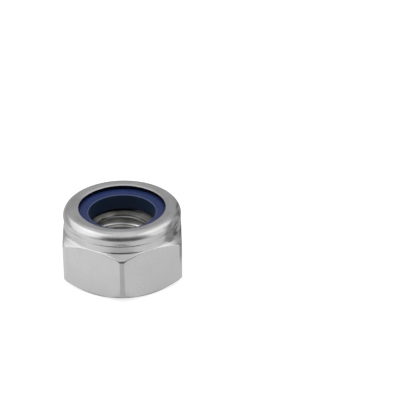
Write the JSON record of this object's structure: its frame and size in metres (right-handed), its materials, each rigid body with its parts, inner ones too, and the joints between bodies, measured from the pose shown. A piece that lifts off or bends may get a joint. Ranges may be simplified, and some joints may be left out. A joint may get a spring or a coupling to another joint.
{
  "type": "nylon insert lock nut",
  "caption": "Thin hexagonal lock nut in stainless steel whose collar is rolled over a blue nylon ring, which grips the bolt's thread so that the nut can't work loose.",
  "frame": {"origin": "centre of the bearing face", "axes": "+Z along the thread, from the bearing face towards the nylon insert; two corners of the hexagon point along +Y and -Y, and two flats face +X and -X"},
  "size_m": [0.013, 0.0148, 0.008],
  "materials": {
    "stainless_steel": "turned and tumbled",
    "blue_nylon": "satin"
  },
  "bodies": {
    "root": {"nut_body": "stainless_steel", "nylon_insert": "blue_nylon"}
  },
  "joints": []
}
